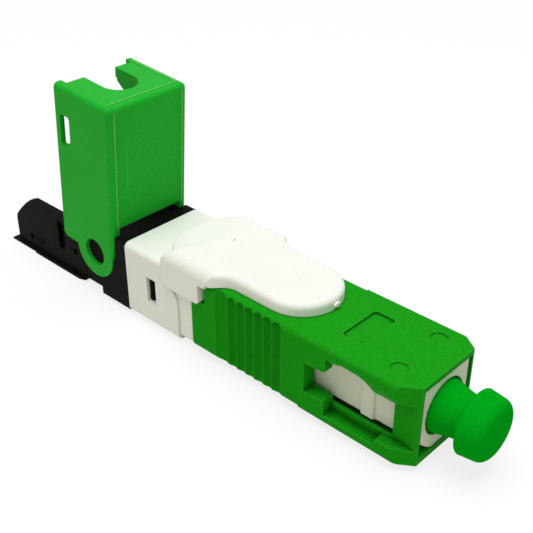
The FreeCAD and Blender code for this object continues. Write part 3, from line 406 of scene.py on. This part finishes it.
# The white parts get a little painted shade in their grooves.
white_plastic = moulded("white_plastic", colour=rgb(0.93, 0.93, 0.88), shade=rgb(0.865, 0.865, 0.81),
                        light=rgb(0.94, 0.94, 0.905), rough=0.40, grain=0.004 * MM, edge=0.15 * MM,
                        shine=0.2, groove_shade=0.2, spots=[(speck, rgb(0.05, 0.05, 0.03))])
frame_white = moulded("frame_white", colour=rgb(0.80, 0.815, 0.70), shade=rgb(0.74, 0.755, 0.64),
                      light=rgb(0.86, 0.865, 0.79), rough=0.45, grain=0.004 * MM, edge=0.1 * MM, shine=0.2)
print("white finishes:", [f.material.name for f in (white_plastic, frame_white)])

# %% [markdown]
# ## Black plastic
# The black trough is the roughest part: its mould was left as eroded, so light
# catches on tiny peaks. That glint is painted into the colour as a grey speckle
# on the peaks, a painted highlight. The speckle comes and goes in broad
# patches, so two noises are multiplied. The edges get a painted highlight too.

# %% Black plastic
PEAK_WAVES = 5200
PEAK_DEPTH = 0.02 * MM
PEAK_ROUGHNESS = 0.3
PATCH_WAVES = 420
BLACK_ROUGHNESS = 0.38
BLACK_SHINE = 0.03
BLACK_EDGE = 0.12 * MM
BLACK_EDGE_HIGHLIGHT = 0.35


def eroded_black():
    finish = Finish("black_plastic")
    normal, edges = soft_edge(finish, BLACK_EDGE)
    peaks = noise(finish, PEAK_WAVES, 3, 0.7)
    patches = noise(finish, PATCH_WAVES, 3)
    # Painted glints: the tips of the peaks are painted grey, for the light they catch.
    peak_glint = peaks.step(0.56, 0.74) * patches.step(0.3, 0.7)
    body = blend(finish, peak_glint, rgb(0.0030, 0.0030, 0.0024), rgb(0.048, 0.048, 0.042))
    # Painted highlight on the edges.
    body = blend(finish, edges * BLACK_EDGE_HIGHLIGHT, body, rgb(0.03, 0.03, 0.027))
    finish.surface(Base_Color=body, Roughness=peaks * PEAK_ROUGHNESS + BLACK_ROUGHNESS,
                   Normal=grained(finish, peaks, PEAK_DEPTH, normal), Specular_IOR_Level=BLACK_SHINE)
    return finish


black_plastic = eroded_black()
print("black finish:", black_plastic.material.name)

# %% [markdown]
# ## Inside parts
# The ferrule is polished zirconia, a white ceramic. It sits in a turned metal
# holder, and a steel spring pushes on the holder. A stub of bare glass fibre
# runs through them into the splice. Noise that changes much faster along the
# part than across it makes the rings of the turned metal.

# %% Inside parts
RING_STRETCH = (16000, 900, 900)      # waves a metre along the part and across it
RING_ROUGHNESS = 0.2
RING_SHARE = 0.8

zirconia = Finish("zirconia")
cloud = noise(zirconia, 900, 2).step(0.3, 0.7)
zirconia.surface(Base_Color=blend(zirconia, cloud, rgb(0.83, 0.82, 0.78), rgb(0.79, 0.78, 0.74)),
                 Roughness=cloud * 0.05 + 0.12)


def turned_metal(name, colour, rough):
    """Bright metal with the fine rings that a lathe or a wire die leaves."""
    finish = Finish(name)
    rings = noise(finish, 1, 2, 0.6, RING_STRETCH)
    body = blend(finish, rings.step(0.3, 0.7), colour, dimmed(colour, RING_SHARE))
    finish.surface(Base_Color=body, Metallic=1.0,
                   Roughness=rings * RING_ROUGHNESS + (rough - RING_ROUGHNESS / 2))
    return finish


metal_holder = turned_metal("metal_holder", rgb(0.62, 0.60, 0.56), 0.32)
spring_steel = turned_metal("spring_steel", rgb(0.55, 0.55, 0.56), 0.28)

bare_glass = Finish("bare_glass")
streaks = noise(bare_glass, 2000).step(0.3, 0.7)
bare_glass.surface(Base_Color=blend(bare_glass, streaks, rgb(0.9, 0.93, 0.95), rgb(0.8, 0.85, 0.88)),
                   Roughness=0.08)
print("inside finishes:", [f.material.name for f in (zirconia, metal_holder, spring_steel, bare_glass)])

# %% [markdown]
# ## Dress the CAD parts
# Each CAD part already has its final shape, so it only needs its finish in
# place of the plain material that it came with. The list goes from each finish
# to the parts that have it.

# %% Dress the CAD parts
DRESS = {
    green_shell: ["outer_housing"],
    green_flap: ["flip_cap"],
    soft_green: ["dust_cap"],
    white_plastic: ["main_body", "slider_pad", "splice_base", "splice_cover_front", "splice_cover_rear"],
    frame_white: ["plug_frame", "fibre_guide"],
    black_plastic: ["tail_base", "spring_seat"],
    zirconia: ["ferrule"],
    metal_holder: ["ferrule_holder", "v_groove_chip"],
    spring_steel: ["ferrule_spring", "clamp_sleeve"],
    bare_glass: ["fibre_stub"],
}
for finish, names in DRESS.items():
    for name in names:
        mesh = nodes[name].data
        mesh.materials.clear()
        mesh.materials.append(finish.material)
print("undressed:", sorted(set(nodes) - {n for names in DRESS.values() for n in names}))

# %% [markdown]
# ## The gate mark on the pad
# Plastic enters the mould through a small gate, and a nub is left where it was
# snapped off. It sits on the rounded tip of the pad: a small ball, squashed,
# with its face towards the tip broken off flat and a little rough.

# %% Gate mark
GATE_PLACE = Vector((-12.80, 0.20, 4.10)) * MM
GATE_SIZE = Vector((0.34, 0.38, 0.24)) * MM
GATE_BREAK = 0.55        # in radii of the ball, from its middle to the broken face
RIPPLE = 0.05            # in radii too


def broken_face(across, up):
    """How far out the broken face lies at a place on it."""
    return GATE_BREAK + RIPPLE * math.sin(7 * across + 1.3) * math.cos(6 * up)


gate_mesh = bmesh.new()
bmesh.ops.create_icosphere(gate_mesh, subdivisions=4, radius=1.0)
for vert in gate_mesh.verts:
    if vert.co.x > GATE_BREAK:
        vert.co.x = broken_face(vert.co.y, vert.co.z)
    vert.co = Vector(v * size for v, size in zip(vert.co, GATE_SIZE)) + GATE_PLACE
bmesh.ops.recalc_face_normals(gate_mesh, faces=gate_mesh.faces)
for face in gate_mesh.faces:
    face.smooth = True
gate_data = bpy.data.meshes.new("gate_mark")
gate_mesh.to_mesh(gate_data)
gate_mesh.free()
gate_data.materials.append(white_plastic.material)
gate = bpy.data.objects.new("gate_mark", gate_data)
bpy.context.scene.collection.objects.link(gate)
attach(gate, "pad")
print("gate mark:", len(gate_data.polygons), "faces")

# %% [markdown]
# ## Floor
# The part lies on a white table. To the camera the table shows mostly a white
# of its own, so the ground stays clean and still keeps some of the part's
# shadow. Far from the part that white is all there is, and it runs into the
# room with no edge. To light that bounces, the table is a plain warm card.

# %% Floor
FLOOR_REACH = 1.5              # metres from the middle to each side
FLOOR_POINT = Vector((0, 0, cad_box[0][2]))
CARD_BOUNCING = rgb(0.76, 0.74, 0.62)
CARD_SHOWN = rgb(0.98, 0.98, 0.98)
SHADOW_SHARE = 0.2             # of what the camera sees close to the part
SHADOW_FULL = 0.10             # metres from the part's origin
SHADOW_ENDS = 0.32

floor_mesh = bmesh.new()
bmesh.ops.create_grid(floor_mesh, x_segments=4, y_segments=4, size=FLOOR_REACH)
floor_data = bpy.data.meshes.new("floor")
floor_mesh.transform(Matrix.Translation(FLOOR_POINT))
floor_mesh.to_mesh(floor_data)
floor_mesh.free()
floor = bpy.data.objects.new("floor", floor_data)
bpy.context.scene.collection.objects.link(floor)


def shown_directly(finish):
    """1 for rays from the camera, and for those that come by way of gloss or glass."""
    camera_ray = finish.node("ShaderNodeLightPath", output="Is Camera Ray")
    gloss_ray = finish.node("ShaderNodeLightPath", output="Is Glossy Ray")
    glass_ray = finish.node("ShaderNodeLightPath", output="Is Transmission Ray")
    return camera_ray.most(gloss_ray).most(glass_ray)


floor_finish = Finish("table_white")
seen = shown_directly(floor_finish)
white_card = blend(floor_finish, seen, CARD_BOUNCING, CARD_SHOWN)
paint = floor_finish.node("ShaderNodeBsdfDiffuse", {}, {"Color": white_card})
glow = floor_finish.node("ShaderNodeEmission", {}, {"Color": rgb(1, 1, 1), "Strength": 1.0})
close_by = near(floor_finish, FLOOR_POINT, SHADOW_FULL, SHADOW_ENDS)
own_white = seen * (1 - close_by * SHADOW_SHARE)
both = floor_finish.node("ShaderNodeMixShader", {}, {0: own_white, 1: paint, 2: glow})
floor_finish.tree.links.new(both.socket, floor_finish.tree.nodes["Material Output"].inputs["Surface"])
floor_data.materials.append(floor_finish.material)
print("floor at height", round(FLOOR_POINT.z / MM, 2), "mm")

# %% [markdown]
# ## Room light
# An even white room fills the shadows. It is full white to the camera, also by
# way of gloss or glass, and only as bright as the fill light should be to all
# else, so a Map Range node picks between the two levels by the kind of ray.

# %% Room light
ROOM_LEVEL = 0.37
SHOWN_LEVEL = 1.0

world = bpy.data.worlds.new("white_room")
world.use_nodes = True
bpy.context.scene.world = world
room = world.node_tree
background = room.nodes["Background"]
path = room.nodes.new("ShaderNodeLightPath")
strength = room.nodes.new("ShaderNodeMapRange")
strength.inputs["To Min"].default_value = ROOM_LEVEL
strength.inputs["To Max"].default_value = SHOWN_LEVEL
shown = path.outputs["Is Camera Ray"]
for way in ("Is Glossy Ray", "Is Transmission Ray"):
    either = room.nodes.new("ShaderNodeMath")
    either.operation = "MAXIMUM"
    room.links.new(shown, either.inputs[0])
    room.links.new(path.outputs[way], either.inputs[1])
    shown = either.outputs[0]
room.links.new(shown, strength.inputs["Value"])
room.links.new(strength.outputs[0], background.inputs["Strength"])
background.inputs["Color"].default_value = rgb(1, 1, 1)
print("room level:", ROOM_LEVEL)

# %% [markdown]
# ## Soft box
# One large square lamp hangs over the part, a little towards its front and its
# right side. Its size is most of its height above the part, which gives the
# shadow a soft rim.

# %% Soft box
BOX_OFFSET = Vector((0.03, -0.04, 0.42))      # metres from the part's middle
BOX_SIZE = 0.36
BOX_POWER = 1.60
BOX_COLOUR = (0.985, 1.0, 0.99)

box_data = bpy.data.lights.new("overhead", "AREA")
box_data.shape = "SQUARE"
box_data.size = BOX_SIZE
box_data.energy = BOX_POWER
box_data.color = BOX_COLOUR
soft_box = bpy.data.objects.new("overhead", box_data)
soft_box.location = (cad_box[0] + cad_box[1]) / 2 + BOX_OFFSET
soft_box.rotation_euler = (-BOX_OFFSET).to_track_quat("-Z", "Y").to_euler()
bpy.context.scene.collection.objects.link(soft_box)
print("soft box:", BOX_SIZE, "m,", BOX_POWER, "W")
